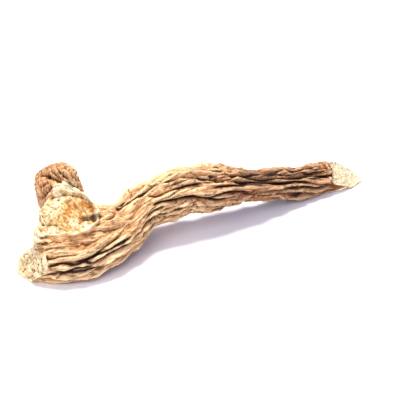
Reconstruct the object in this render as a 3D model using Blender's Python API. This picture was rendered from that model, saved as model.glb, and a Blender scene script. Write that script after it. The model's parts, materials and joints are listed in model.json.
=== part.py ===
# One dried gentian root, lying on its side: a long wrinkled root that forks at its crown.
#
# The form is made the way the root came about.
# Grown: five tapering arms follow smooth lines and run together into one body.
# Cut: the thin end, the lower arm and the upper stub end in cut faces.
# Dried: the skin has shrunk into long furrows that follow each arm, with raised lips beside them,
# and the cut faces are rough.
# Laid down: the three lowest places, which carry the root, are a little flattened.
#
# +Z is up and +X points to the thin end. The origin lies on the resting surface,
# under the middle of the root's box. The work is done in millimetres and turned to metres at the end.

import math
import random

import bmesh
import bpy
import numpy as np
from mathutils import Matrix, Vector, kdtree, noise

MM = 0.001

# Fineness of the work, and how many triangles the finished root keeps.
GRAIN = 0.5
TRIANGLES = 11400
SEED = 4

# The arms' centre lines: x, y, z and the arm's radius there.
# The trunk runs from the thin end over a low arch, bends forward and ends in the lower arm.
TRUNK = ((88.0, -5.0, 6.2, 5.8), (79.5, -1.8, 6.5, 6.3), (70.2, 1.0, 7.0, 7.1), (58.5, 1.8, 8.5, 7.3),
         (43.1, 0.9, 11.5, 7.1), (30.3, 0.1, 14.5, 7.5), (19.3, 1.5, 17.0, 8.5), (7.3, 2.0, 18.5, 10.0),
         (-3.2, 4.3, 19.3, 10.3), (-14.5, 5.0, 18.4, 10.3), (-25.6, 5.0, 16.5, 10.3),
         (-38.0, 0.1, 13.5, 10.4), (-48.7, -4.5, 11.5, 9.6), (-60.6, -6.6, 9.3, 8.6),
         (-69.4, -2.6, 8.3, 7.9), (-76.5, 2.8, 7.5, 7.3), (-84.0, 8.5, 6.8, 6.6))
# The other arms share the trunk's line up to the fork, which lies this far along it.
FORK = 12
FORK_AT = 130
MIDDLE = TRUNK[:FORK] + ((-54.5, -0.5, 15.0, 10.0), (-63.5, 2.7, 16.4, 9.2), (-70.5, 5.3, 16.6, 7.2))
STUB = TRUNK[:FORK] + ((-53.0, 6.0, 16.5, 11.0), (-58.0, 7.8, 21.0, 11.5), (-59.6, 8.4, 25.0, 11.3))
CROWN = TRUNK[:FORK] + ((-51.0, 12.5, 13.8, 10.2), (-52.9, 20.0, 19.8, 10.0), (-53.4, 25.0, 26.5, 10.5))
HEEL = TRUNK[:FORK] + ((-47.0, 12.0, 9.8, 9.0), (-51.5, 23.0, 7.2, 7.6))
ARMS = {"trunk": TRUNK, "middle": MIDDLE, "stub": STUB, "crown": CROWN, "heel": HEEL}
# How far an arm's rounded end stands out, as a share of the arm's radius.
END_BULGE = {"trunk": 0.7, "middle": 0.7, "stub": 0.35, "crown": 1.0, "heel": 0.7}

# The cut faces: a place on the face, the way it looks, how far round that place the cut reaches,
# and how far above the face it reaches.
CUTS = {"thin_end": ((86.7, -1.0, 1.0), (0.390, -0.557, 0.736), 22.0, 30.0),
        "thin_end_below": ((74.8, -5.0, 2.0), (-0.030, -0.524, -0.856), 9.0, 20.0),
        "lower_end": ((-80.0, 5.0, 4.0), (-0.916, -0.033, 0.394), 12.5, 20.0),
        "stub_top": ((-61.6, 5.2, 24.3), (-0.190, -0.130, 0.973), 12.2, 6.0)}
CUT_ROUGHNESS = 1.4

# The furrows that give the root its look: arm, depth, width, and the places that the furrow
# passes, each as the distance along the arm from the thin end and the angle round it in degrees.
FURROWS = (
    # the lower arm's scalloped furrows
    ("trunk", 1.5, 0.9, ((162, 131), (157, 130), (153, 131))),
    ("trunk", 2.6, 1.2, ((159, 143), (154, 154), (150, 154), (145, 159), (139, 169), (134, 171))),
    ("trunk", 3.0, 1.2, ((168, 147), (162, 149), (158, 159), (155, 155), (153, 169), (145, 178), (136, 184))),
    ("trunk", 3.4, 1.2, ((167, 174), (161, 175), (158, 171), (155, 178), (151, 186))),
    ("trunk", 3.2, 1.1, ((166, 188), (160, 184), (155, 189), (150, 197), (145, 205))),
    ("trunk", 1.2, 1.1, ((164, 198), (159, 192), (155, 214))),
    # the arch, from its top edge to its lower edge
    ("trunk", 2.3, 0.9, ((139, 85), (129, 79), (123, 85), (113, 85), (105, 88), (96, 94))),
    ("trunk", 1.5, 1.1, ((93, 93), (86, 99), (77, 101))),
    ("trunk", 2.6, 1.0, ((133, 92), (124, 97), (115, 104), (104, 102), (96, 112), (88, 114), (82, 121))),
    ("trunk", 2.6, 1.1, ((145, 87), (140, 92), (135, 98), (131, 100))),
    ("trunk", 1.5, 0.9, ((108, 102), (105, 110), (100, 117))),
    ("trunk", 1.9, 1.0, ((118, 119), (110, 129), (102, 130), (95, 137), (87, 139))),
    ("trunk", 3.0, 1.2, ((117, 146), (110, 148), (104, 158), (98, 168), (92, 179), (85, 182), (78, 191))),
    ("trunk", 2.5, 1.0, ((125, 161), (115, 159), (107, 161))),
    ("trunk", 2.4, 1.0, ((130, 168), (124, 176), (116, 181), (107, 190))),
    ("trunk", 1.7, 0.9, ((132, 188), (123, 196), (113, 200), (102, 203))),
    ("trunk", 1.4, 0.7, ((134, 122), (135, 136), (133, 150))),
    ("trunk", 1.0, 0.8, ((151, 129), (144, 141), (139, 141))),
    ("trunk", 1.2, 0.7, ((105, 170), (97, 183))),
    ("trunk", 2.6, 1.3, ((102, 204), (93, 220), (85, 236))),
    ("trunk", 2.2, 1.0, ((92, 193), (88, 207), (84, 222))),
    # the straight part towards the thin end
    ("trunk", 2.0, 1.0, ((81, 115), (73, 122), (64, 110), (54, 112), (42, 119), (22, 121))),
    ("trunk", 3.0, 1.2, ((76, 130), (61, 131), (49, 131), (36, 136), (19, 146))),
    ("trunk", 3.2, 1.3, ((78, 144), (67, 149), (55, 150), (45, 151), (34, 160))),
    ("trunk", 1.7, 0.8, ((56, 171), (45, 175), (37, 182), (22, 197))),
    ("trunk", 2.0, 1.1, ((65, 201), (55, 200), (47, 204), (30, 213))),
    ("trunk", 2.2, 1.1, ((49, 98), (37, 92), (22, 84))),
    ("trunk", 2.2, 1.1, ((86, 220), (75, 214), (65, 222))),
)

# Dents, pits and creases in the skin and in the cut faces: depth, width and the places they pass.
# A negative depth is a knob.
DENTS = (
    (3.2, 2.6, ((-55.0, -1.0, 24.6), (-52.0, -1.6, 24.0))),
    (1.8, 1.6, ((-76.2, -1.2, 14.2),)),
    (1.5, 0.8, ((-78.1, -5.5, 7.9),)),
    (1.8, 1.6, ((-73.9, 3.2, 17.0), (-72.0, 2.1, 17.5))),
    (1.8, 1.1, ((-71.4, 10.7, 20.5), (-69.7, 8.4, 21.8), (-68.2, 5.7, 22.6), (-66.4, 3.4, 23.0))),
    (1.6, 1.0, ((-75.6, 4.5, 15.2), (-73.3, 0.3, 15.5), (-71.0, -3.0, 15.6))),
    (2.6, 1.2, ((4.0, -2.8, 27.0), (6.4, -3.5, 26.6))),
    (2.2, 0.9, ((5.8, -4.9, 25.5), (8.5, -5.2, 25.0))),
    (1.8, 1.0, ((22.7, -6.4, 13.3), (26.2, -6.6, 12.3))),
    (-0.9, 0.9, ((33.4, -6.8, 11.8),)),
    (2.4, 1.8, ((-60.5, 27.0, 29.8), (-59.4, 24.6, 31.6), (-58.1, 21.2, 32.4), (-56.5, 18.9, 32.0))),
    (1.5, 1.0, ((-63.0, 22.0, 24.0), (-61.0, 19.0, 26.6), (-58.6, 17.2, 28.0))),
    (1.0, 0.7, ((-54.6, 23.0, 36.3), (-53.6, 20.7, 35.2), (-52.5, 17.8, 33.4))),
    (1.2, 0.7, ((-54.2, 20.5, 34.5), (-52.2, 17.6, 32.5), (-48.4, 17.1, 28.4), (-45.7, 17.2, 25.3))),
    (1.2, 0.8, ((-51.1, 21.8, 35.9), (-50.4, 18.2, 34.0), (-47.9, 17.9, 30.2))),
    (1.0, 0.7, ((-62.3, 24.0, 28.4), (-60.3, 21.3, 31.8))),
    (1.0, 0.7, ((-61.8, 22.5, 27.1), (-60.4, 18.7, 31.1))),
    (1.0, 0.9, ((72.8, -6.5, 6.8),)),
)

# Where the skin is smoother, and only a little of the furrows drawn by lot is left: place and radius.
CALM = (((-63.5, -4.0, 20.5), 9.0), ((-53.0, 20.0, 32.0), 13.0))

# The furrows drawn by lot: how many lie side by side, between which angles, their depth, width
# and length. The first ones cover the side and the underside that the named furrows leave free.
LOTS = ((8, 238, 438, 2.6, 1.1, 42), (13, 0, 360, 1.3, 0.9, 32))
# How far the skin between the furrows stands out from the arms, or lies below them.
SWELL = -0.6

# The height that the lowest places are pressed to, above the height that the arms' places start from.
FLOOR = 2.0


def smooth_line(points, step):
    """A smooth curve through the points, read about every step: one row of values for each place."""
    p = np.array(points, float)
    p = np.vstack([2 * p[0] - p[1], p, 2 * p[-1] - p[-2]])
    rows = []
    for a, b, c, d in zip(p, p[1:], p[2:], p[3:]):
        count = max(1, round(float(np.linalg.norm(c[:3] - b[:3])) / step))
        t = (np.arange(count) / count)[:, None]
        rows.append(b + (c - a) * t / 2
                    + (2 * a - 5 * b + 4 * c - d) * t ** 2 / 2
                    + (3 * b - a - 3 * c + d) * t ** 3 / 2)
    return np.vstack(rows + [p[-2:-1]])


def smoothstep(low, high, x):
    t = np.clip((x - low) / (high - low), 0, 1)
    return t * t * (3 - 2 * t)


def waves(rng, x, length, size):
    """A smooth wandering value along x, about as large as size, with swings about as long as length."""
    start = rng.uniform(0, 500)
    return 2 * size * np.array([noise.noise(Vector((start, v / length, 0.5))) for v in x])


def lumps(places, length, seed):
    """Smooth noise in space, about -0.5 to 0.5, with lumps about as long as length."""
    return np.array([noise.noise(Vector(v)) for v in places / length + seed * 7.3])


class Arm:
    """The centre line of one arm, which tells how far along it and round it a place lies."""

    def __init__(self, points):
        self.line = smooth_line(points, 0.5)
        tangent = np.gradient(self.line[:, :3], axis=0)
        self.tangent = tangent / np.linalg.norm(tangent, axis=1)[:, None]
        self.side = np.zeros_like(tangent)
        side = np.cross(self.tangent[0], (0.0, 0.0, 1.0))
        for i, t in enumerate(self.tangent):
            side = side - t * (side @ t)
            side /= np.linalg.norm(side)
            self.side[i] = side
        self.up = np.cross(self.side, self.tangent)
        steps = np.linalg.norm(np.diff(self.line[:, :3], axis=0), axis=1)
        self.length = np.concatenate([[0.0], np.cumsum(steps)])
        self.tree = kdtree.KDTree(len(self.line))
        for i, row in enumerate(self.line):
            self.tree.insert(row[:3], i)
        self.tree.balance()

    def read(self, places):
        """The distance along the arm, the angle round it, the distance out from its line, how far the
        place lies on the arm's side and not on its end, and the arm's hold on it."""
        nearest = np.array([self.tree.find(v)[1] for v in places])
        offset = places - self.line[nearest, :3]
        ahead = (offset * self.tangent[nearest]).sum(1)
        across = (offset * self.side[nearest]).sum(1)
        above = (offset * self.up[nearest]).sum(1)
        radius = self.line[nearest, 3]
        at_end = nearest == len(self.line) - 1
        along = self.length[nearest] + np.where(at_end, ahead, np.clip(ahead, -0.5, 0.5))
        out = np.hypot(across, above)
        hold = np.exp(-3 * (out ** 2 + ahead ** 2) / radius ** 2)
        return along, np.arctan2(above, across), out, smoothstep(0.2, 0.8, out / radius), hold


class Furrow:
    """One furrow in the skin, drawn on the unrolled arm, with wandering sides and fading ends."""

    STEP = 0.6
    UNROLL = math.radians(1) * 9.0

    def __init__(self, rng, depth, width, places):
        route = smooth_line([(along, angle * self.UNROLL) for along, angle in places], self.STEP)
        x = np.arange(len(route)) * self.STEP
        to_end = np.minimum(x, x[-1] - x)
        self.along = route[:, 0]
        self.angle = np.radians(route[:, 1] / self.UNROLL) + waves(rng, x, 7.0, 0.05)
        self.depth = depth * smoothstep(0, 6, to_end) * (1 + waves(rng, x, 11.0, 0.35))
        self.width = width * (0.5 + 0.5 * smoothstep(0, 5, to_end)) * (1 + waves(rng, x, 9.0, 0.35))

    def read(self, along, angle, out):
        """How deep the furrow goes at each place, and how high its lips stand there."""
        depth = np.zeros(len(along))
        lip = np.zeros(len(along))
        reach = 4 * self.width.max()
        near = np.flatnonzero((along > self.along.min() - reach) & (along < self.along.max() + reach))
        nearest = np.full(len(near), 1e9)
        index = np.zeros(len(near), int)
        for i, (a, b) in enumerate(zip(self.along, self.angle)):
            turn = (angle[near] - b + math.pi) % (2 * math.pi) - math.pi
            distance = (along[near] - a) ** 2 + (turn * out[near]) ** 2
            closer = distance < nearest
            nearest[closer] = distance[closer]
            index[closer] = i
        x = np.sqrt(nearest) / self.width[index]
        depth[near] = self.depth[index] * np.exp(-x ** 1.6)
        lip[near] = self.depth[index] * np.exp(-((x - 1.9) / 0.8) ** 2)
        return depth, lip


def furrows_by_lot(rng, lanes, first, last, depth, width, length):
    """Furrows one after another in lanes, which lie side by side between two angles in degrees."""
    made = []
    spread = (last - first) / lanes
    for lane in range(lanes):
        middle = first + spread * (lane + 0.5)
        start = rng.uniform(-10, 10)
        while start < 185:
            end = start + rng.uniform(0.6, 1.4) * length
            places = [(along, middle + rng.uniform(-0.35, 0.35) * spread)
                      for along in np.linspace(start, end, max(3, round((end - start) / 12)))]
            made.append(Furrow(rng, depth * rng.uniform(0.6, 1.3), width * rng.uniform(0.8, 1.3), places))
            start = end + rng.uniform(-0.1, 0.15) * length
    return made


def dents(places):
    """The depth of the dents, pits and creases at each place in space."""
    total = np.zeros(len(places))
    for depth, width, route in DENTS:
        line = smooth_line(route, 0.5) if len(route) > 1 else np.array(route)
        nearest = np.min([((places - point) ** 2).sum(1) for point in line], axis=0)
        total += depth * np.exp(-(np.sqrt(nearest) / width) ** 2)
    return total


def furrowed(places):
    """How much of the furrows drawn by lot shows at each place, from 0 to 1."""
    share = np.ones(len(places))
    for middle, radius in CALM:
        share -= 0.85 * np.exp(-((places - middle) ** 2).sum(1) / radius ** 2)
    return share


def relief(places):
    """How far the dried skin stands out from the grown form, or lies below it, at each place."""
    rng = random.Random(SEED)
    named = [(arm, Furrow(rng, depth, width, route)) for arm, depth, width, route in FURROWS]
    by_lot = [furrow for lot in LOTS for furrow in furrows_by_lot(rng, *lot)]
    readings = {name: Arm(points).read(places) for name, points in ARMS.items()}
    strongest = np.max([reading[4] for reading in readings.values()], axis=0)
    together = np.sum([reading[4] for reading in readings.values()], axis=0)
    # Before the fork the arms are one, and the trunk alone counts there.
    forked = smoothstep(FORK_AT - 10, FORK_AT, readings["trunk"][0])
    shown = furrowed(places)
    squares = np.zeros(len(places))
    lips = np.zeros(len(places))
    for name, (along, angle, out, side, hold) in readings.items():
        for arm, furrow in named:
            if arm == name:
                depth, lip = furrow.read(along, angle, out)
                squares += (side * hold / strongest * depth) ** 2
                lips += side * hold / strongest * lip
        share = forked * hold / together + (1 - forked) * (name == "trunk")
        here = np.flatnonzero(share > 0.02)
        for furrow in by_lot:
            depth, lip = furrow.read(along[here], angle[here], out[here])
            squares[here] += share[here] * (shown[here] * side[here] * depth) ** 2
            lips[here] += share[here] * shown[here] * side[here] * lip
    swell = SWELL + 1.0 * lumps(places, 13.0, 1) + 0.4 * lumps(places, 4.0, 2)
    # The furrows run shallow where the root rests.
    free = 0.2 + 0.8 * smoothstep(FLOOR - 0.5, FLOOR + 1.5, places[:, 2])
    return swell + free * (0.3 * lips - np.sqrt(squares)) - dents(places)


def mesh_arrays(mesh):
    places = np.empty(len(mesh.vertices) * 3)
    normals = np.empty(len(mesh.vertices) * 3)
    mesh.vertices.foreach_get("co", places)
    mesh.vertices.foreach_get("normal", normals)
    return places.reshape(-1, 3), normals.reshape(-1, 3)


def moved(mesh, places):
    mesh.vertices.foreach_set("co", places.ravel())
    mesh.update()
    return mesh


def linked(name, data):
    obj = bpy.data.objects.new(name, data)
    bpy.context.scene.collection.objects.link(obj)
    return obj


def evaluated(*objects):
    """The first object's mesh with its modifiers applied; the objects themselves are removed."""
    graph = bpy.context.evaluated_depsgraph_get()
    mesh = bpy.data.meshes.new_from_object(objects[0].evaluated_get(graph))
    for spent in objects:
        bpy.data.objects.remove(spent)
    return mesh


def with_modifier(mesh, kind, **values):
    helper = linked("helper", mesh)
    modifier = helper.modifiers.new(kind, kind)
    for name, value in values.items():
        setattr(modifier, name, value)
    return evaluated(helper)


def grown():
    """The arms as round tapering curves with rounded ends, run together into one smooth body."""
    curve = bpy.data.curves.new("arms", "CURVE")
    curve.dimensions = "3D"
    curve.bevel_depth = 1.0
    curve.bevel_resolution = 10
    curve.use_fill_caps = True
    for name, points in ARMS.items():
        line = smooth_line(points[0 if name == "trunk" else FORK - 1:], 2.0)
        caps = []
        for end, inner in ((0, 1), (-1, -2)):
            out = (line[end, :3] - line[inner, :3]) / np.linalg.norm(line[end, :3] - line[inner, :3])
            caps.append([(*(line[end, :3] + out * END_BULGE[name] * line[end, 3] * math.sin(turn)),
                          line[end, 3] * math.cos(turn) ** 0.7) for turn in (0.4, 0.8, 1.15, 1.4)])
        rows = caps[0][::-1] + [tuple(row) for row in line] + caps[1]
        spline = curve.splines.new("POLY")
        spline.points.add(len(rows) - 1)
        for point, (x, y, z, radius) in zip(spline.points, rows):
            point.co = (x, y, z, 1)
            point.radius = radius
    mesh = with_modifier(evaluated(linked("arms", curve)), "REMESH", mode="VOXEL", voxel_size=GRAIN)
    return with_modifier(mesh, "SMOOTH", factor=0.5, iterations=round(7.0 / GRAIN))


def cutter(name, place, look, reach, height):
    """A short cylinder that stands on a cut face."""
    bm = bmesh.new()
    turn = Vector(look).to_track_quat("Z", "Y").to_matrix().to_4x4()
    middle = Vector(place) + Vector(look).normalized() * height / 2
    bmesh.ops.create_cone(bm, cap_ends=True, segments=48, radius1=reach, radius2=reach, depth=height,
                          matrix=Matrix.Translation(middle) @ turn)
    mesh = bpy.data.meshes.new(name)
    bm.to_mesh(mesh)
    bm.free()
    return linked(name, mesh)


def cut(mesh):
    """Takes the ends off, then meshes the new faces as finely as the skin."""
    helper = linked("helper", mesh)
    cutters = [cutter(name, *values) for name, values in CUTS.items()]
    for shape in cutters:
        modifier = helper.modifiers.new(shape.name, "BOOLEAN")
        modifier.operation = "DIFFERENCE"
        modifier.object = shape
    return with_modifier(evaluated(helper, *cutters), "REMESH", mode="VOXEL", voxel_size=GRAIN)


def cut_faces(places, normals):
    """How surely each place lies on a cut face, from 0 to 1, and how free of a cut's rim it is."""
    face = np.zeros(len(places))
    free = np.ones(len(places))
    for place, look, reach, height in CUTS.values():
        look = np.array(look) / np.linalg.norm(look)
        offset = places - np.array(place)
        below = -offset @ look
        close = (offset ** 2).sum(1) < (reach + 2) ** 2
        face = np.maximum(face, close * (np.abs(below) < 2 * GRAIN) * smoothstep(0.6, 0.95, normals @ look))
        free = np.minimum(free, np.where(close, smoothstep(0, 3, below), 1))
    return face, free


def dried(mesh):
    """Shrinks the skin into its furrows and roughens the cut faces."""
    places, normals = mesh_arrays(mesh)
    face, free = cut_faces(places, normals)
    skin = (0.25 + 0.75 * free) * relief(places)
    rough = CUT_ROUGHNESS * (lumps(places, 5.0, 3) + 0.6 * lumps(places, 2.0, 4)) - 0.5 * dents(places)
    out = (1 - face) * skin + face * rough
    return moved(mesh, places + normals * out[:, None])


def laid_down(mesh):
    """Presses the lowest places flat."""
    places = mesh_arrays(mesh)[0]
    places[:, 2] = np.maximum(places[:, 2], FLOOR)
    return moved(mesh, places)


def lightened(mesh):
    """Keeps only as many triangles as the form needs."""
    ratio = TRIANGLES / sum(len(face.vertices) - 2 for face in mesh.polygons)
    return with_modifier(mesh, "DECIMATE", ratio=ratio, use_collapse_triangulate=True)


def to_metres(mesh):
    """Puts the origin under the middle of the root's box and turns millimetres to metres."""
    places = mesh_arrays(mesh)[0]
    low, high = places.min(axis=0), places.max(axis=0)
    middle = Vector(((low[0] + high[0]) / 2, (low[1] + high[1]) / 2, low[2]))
    mesh.transform(Matrix.Scale(MM, 4) @ Matrix.Translation(-middle))
    return mesh


def dried_root_material():
    material = bpy.data.materials.new("dried_root")
    material.use_nodes = True
    shader = material.node_tree.nodes["Principled BSDF"]
    shader.inputs["Base Color"].default_value = (0.50, 0.31, 0.16, 1.0)
    shader.inputs["Roughness"].default_value = 0.85
    shader.inputs["Metallic"].default_value = 0.0
    return material


def main():
    for old in list(bpy.data.objects):
        bpy.data.objects.remove(old)
    mesh = to_metres(laid_down(lightened(laid_down(dried(cut(grown()))))))
    mesh.name = "gentian_root"
    mesh.materials.clear()
    mesh.materials.append(dried_root_material())
    mesh.shade_smooth()
    linked("gentian_root", mesh)


main()
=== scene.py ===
# %% [markdown]
# # A dried gentian root
#
# The object is one dried root that lies on a pale table: an arching, deeply wrinkled trunk, a forked
# crown at its thick end, and pale rough faces where it was cut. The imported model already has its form
# and its main furrows. This script grows the same root again with much finer skin, colours it, and
# puts it in front of a camera.
#
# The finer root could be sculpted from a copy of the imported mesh. It is grown from the same lines and
# furrows instead, because then every wrinkle knows where it runs along the root, and the colours can
# follow the furrows exactly.

import json
import math
import random
from collections import namedtuple

import bmesh
import bpy
import numpy as np
from mathutils import Matrix, Vector, bvhtree, kdtree, noise

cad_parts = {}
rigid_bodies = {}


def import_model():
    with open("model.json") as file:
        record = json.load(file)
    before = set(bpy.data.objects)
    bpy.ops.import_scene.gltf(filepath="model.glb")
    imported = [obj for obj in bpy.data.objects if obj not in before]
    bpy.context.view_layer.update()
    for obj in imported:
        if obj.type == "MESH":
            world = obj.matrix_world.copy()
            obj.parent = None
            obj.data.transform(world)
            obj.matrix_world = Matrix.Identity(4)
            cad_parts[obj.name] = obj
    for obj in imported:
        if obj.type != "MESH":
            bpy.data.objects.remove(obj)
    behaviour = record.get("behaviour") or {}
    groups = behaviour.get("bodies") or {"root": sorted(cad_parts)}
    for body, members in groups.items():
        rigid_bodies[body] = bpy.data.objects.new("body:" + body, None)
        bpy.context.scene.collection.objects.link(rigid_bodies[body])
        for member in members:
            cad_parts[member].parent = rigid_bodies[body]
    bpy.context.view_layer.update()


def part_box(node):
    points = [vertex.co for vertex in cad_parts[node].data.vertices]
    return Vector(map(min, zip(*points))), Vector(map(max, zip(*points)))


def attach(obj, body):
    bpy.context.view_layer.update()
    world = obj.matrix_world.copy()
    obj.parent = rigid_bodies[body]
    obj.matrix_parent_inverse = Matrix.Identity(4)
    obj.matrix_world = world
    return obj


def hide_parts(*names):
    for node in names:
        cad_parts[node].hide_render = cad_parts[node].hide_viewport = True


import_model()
scene = bpy.context.scene
MM = 0.001

# %% [markdown]
# ## Camera, light and table
#
# The root was photographed from a little above, from its front left, on a white table in soft bright
# light. A long lens from 65 cm away keeps the proportions as they are seen there.
#
# One large lamp could light it all, but then the furrows would go black. Here a broad lamp, almost
# overhead and a little behind, gives the bright crests and the soft shadow, and a weaker lamp in front
# and a pale bluish sky fill the furrows, so that they go dark only where they are deep.

# %% Helpers: a colour from sRGB hex to linear, and an object in the scene
def linear(hex_colour):
    parts = [int(hex_colour[i:i + 2], 16) / 255 for i in (1, 3, 5)]
    return (*[v / 12.92 if v <= 0.04045 else ((v + 0.055) / 1.055) ** 2.4 for v in parts], 1.0)


def linked(name, data):
    obj = bpy.data.objects.new(name, data)
    scene.collection.objects.link(obj)
    return obj


# %% Camera: its direction, its distance, and how much of the table a pixel covers
YAW = math.radians(-33)
ELEVATION = math.radians(28)
DISTANCE = 0.65
PIXELS_ACROSS = 400
PIXEL = 0.42 * MM
LOOKED_AT = Vector((-2.08, -9.78, 14.0)) * MM

towards_camera = Vector((math.sin(YAW) * math.cos(ELEVATION), -math.cos(YAW) * math.cos(ELEVATION),
                         math.sin(ELEVATION)))
camera_data = bpy.data.cameras.new("camera")
camera_data.lens = camera_data.sensor_width * DISTANCE / (PIXELS_ACROSS * PIXEL)
camera = linked("camera", camera_data)
camera.location = LOOKED_AT + towards_camera * DISTANCE
camera.rotation_euler = (-towards_camera).to_track_quat("-Z", "Y").to_euler()
scene.camera = camera
scene.view_settings.view_transform = "Standard"
print("camera lens, mm:", round(camera_data.lens, 1))


# %% Lamps: as seen from the camera, how far left, behind and up, in metres, then size and watts
def lamp(name, left, behind, up, size, power, colour):
    data = bpy.data.lights.new(name, "AREA")
    data.size = size
    data.energy = power
    data.color = linear(colour)[:3]
    away = Vector((-math.sin(YAW), math.cos(YAW), 0))
    to_left = Vector((-math.cos(YAW), -math.sin(YAW), 0))
    lamp_object = linked(name, data)
    lamp_object.location = to_left * left + away * behind + Vector((0, 0, up))
    lamp_object.rotation_euler = lamp_object.location.to_track_quat("Z", "Y").to_euler()
    return lamp_object


lamps = [lamp("broad_lamp", 0.06, 0.12, 0.62, 0.20, 6.6, "#FFF6E8"),
         lamp("front_fill", 0.20, -0.45, 0.40, 0.40, 2.2, "#FFFAF4")]
print("lamps, watts:", {one_lamp.name: round(one_lamp.data.energy, 1) for one_lamp in lamps})

# %% Sky
sky = bpy.data.worlds.new("pale_sky")
sky.use_nodes = True
sky_light = sky.node_tree.nodes["Background"]
sky_light.inputs["Color"].default_value = linear("#CCD4FF")
sky_light.inputs["Strength"].default_value = 0.62
scene.world = sky
print("sky strength:", round(sky_light.inputs["Strength"].default_value, 2))

# %% Table, in white laminate: pressed flat, so it is an even white, with only a dull sheen
TABLE_ACROSS = 6.0

bm = bmesh.new()
bmesh.ops.create_grid(bm, x_segments=1, y_segments=1, size=TABLE_ACROSS / 2)
table_mesh = bpy.data.meshes.new("table")
bm.to_mesh(table_mesh)
bm.free()
table = linked("table", table_mesh)
table_finish = bpy.data.materials.new("white_laminate")
table_finish.use_nodes = True
table_shader = table_finish.node_tree.nodes["Principled BSDF"]
table_shader.inputs["Base Color"].default_value = linear("#F3F3F8")
table_shader.inputs["Roughness"].default_value = 0.6
table.data.materials.append(table_finish)
print("table, m across:", TABLE_ACROSS)

# %% [markdown]
# ## The arms
#
# A gentian root grows as a few thick arms that share one trunk. Each arm is a smooth line through a
# handful of places, with a radius at each, in millimetres. These are the same lines as in the packed
# root, so the finer root fills the same space.

# %% Lines of the arms: x, y, z and radius, from the thin end to the thick one
TRUNK = ((88.0, -5.0, 6.2, 5.8), (79.5, -1.8, 6.5, 6.3), (70.2, 1.0, 7.0, 7.1), (58.5, 1.8, 8.5, 7.3),
         (43.1, 0.9, 11.5, 7.1), (30.3, 0.1, 14.5, 7.5), (19.3, 1.5, 17.0, 8.5), (7.3, 2.0, 18.5, 10.0),
         (-3.2, 4.3, 19.3, 10.3), (-14.5, 5.0, 18.4, 10.3), (-25.6, 5.0, 16.5, 10.3),
         (-38.0, 0.1, 13.5, 10.4), (-48.7, -4.5, 11.5, 9.6), (-60.6, -6.6, 9.3, 8.6),
         (-69.4, -2.6, 8.3, 7.9), (-76.5, 2.8, 7.5, 7.3), (-84.0, 8.5, 6.8, 6.6))
# The other arms share the trunk's first twelve places, and part from it 130 mm along: the middle lobe,
# the stub with the upper cut face, the crown's bark lobe, and the heel at the back that it rests on.
FORK = 12
FORK_AT = 130
MIDDLE = TRUNK[:FORK] + ((-54.5, -0.5, 15.0, 10.0), (-63.5, 2.7, 16.4, 9.2), (-70.5, 5.3, 16.6, 7.2))
STUB = TRUNK[:FORK] + ((-53.0, 6.0, 16.5, 11.0), (-58.0, 7.8, 21.0, 11.5), (-59.6, 8.4, 25.0, 11.3))
CROWN = TRUNK[:FORK] + ((-51.0, 12.5, 13.8, 10.2), (-52.9, 20.0, 19.8, 10.0), (-53.4, 25.0, 26.5, 10.5))
HEEL = TRUNK[:FORK] + ((-47.0, 12.0, 9.8, 9.0), (-51.5, 23.0, 7.2, 7.6))
ARMS = {"trunk": TRUNK, "middle": MIDDLE, "stub": STUB, "crown": CROWN, "heel": HEEL}


def smooth_line(points, step):
    """A smooth curve through the points, read about every step: one row of values for each place."""
    p = np.array(points, float)
    p = np.vstack([2 * p[0] - p[1], p, 2 * p[-1] - p[-2]])
    rows = []
    for a, b, c, d in zip(p, p[1:], p[2:], p[3:]):
        count = max(1, round(float(np.linalg.norm(c[:3] - b[:3])) / step))
        t = (np.arange(count) / count)[:, None]
        rows.append(b + (c - a) * t / 2
                    + (2 * a - 5 * b + 4 * c - d) * t ** 2 / 2
                    + (3 * b - a - 3 * c + d) * t ** 3 / 2)
    return np.vstack(rows + [p[-2:-1]])


LINE_STEP = 0.5
print("places on the trunk's line:", len(smooth_line(TRUNK, LINE_STEP)))

# %% [markdown]
# ## The grown body
#
# Before it dried, the root was smooth and plump. Each arm is a curve with a round bevel, thicker and
# thinner along its line, with a blunt end. Joining such tubes with booleans would leave hard seams. A
# voxel remesh turns the overlapping arms into one skin instead, and smoothing melts the joins together,
# as growth does. The blunt cuts are then taken off with short cylinders, and a second, finer remesh
# gives even faces for the wrinkles.

# %% Helpers that apply modifiers
def evaluated(*objects):
    """The first object's mesh with its modifiers applied; the objects themselves are removed."""
    graph = bpy.context.evaluated_depsgraph_get()
    mesh = bpy.data.meshes.new_from_object(objects[0].evaluated_get(graph))
    for spent in objects:
        bpy.data.objects.remove(spent)
    return mesh


def with_modifier(mesh, kind, **values):
    helper = linked("helper", mesh)
    modifier = helper.modifiers.new(kind, kind)
    for name, value in values.items():
        setattr(modifier, name, value)
    return evaluated(helper)


# %% Grow the arms: sizes in millimetres, and how far each arm's end bulges, in radii
GROWN_GRAIN = 0.5
TUBE_STEP = 2.0
MELTED = 7.0
END_BULGE = {"trunk": 0.7, "middle": 0.7, "stub": 0.35, "crown": 1.0, "heel": 0.7}
END_TURNS = (0.4, 0.8, 1.15, 1.4)
END_BLUNTNESS = 0.7


def end_rows(place, before, bulge):
    """Rows of x, y, z and radius that close an arm beyond its last place with a blunt dome."""
    out = (place[:3] - before[:3]) / np.linalg.norm(place[:3] - before[:3])
    return [(*(place[:3] + out * bulge * place[3] * math.sin(turn)),
             place[3] * math.cos(turn) ** END_BLUNTNESS) for turn in END_TURNS]


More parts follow.
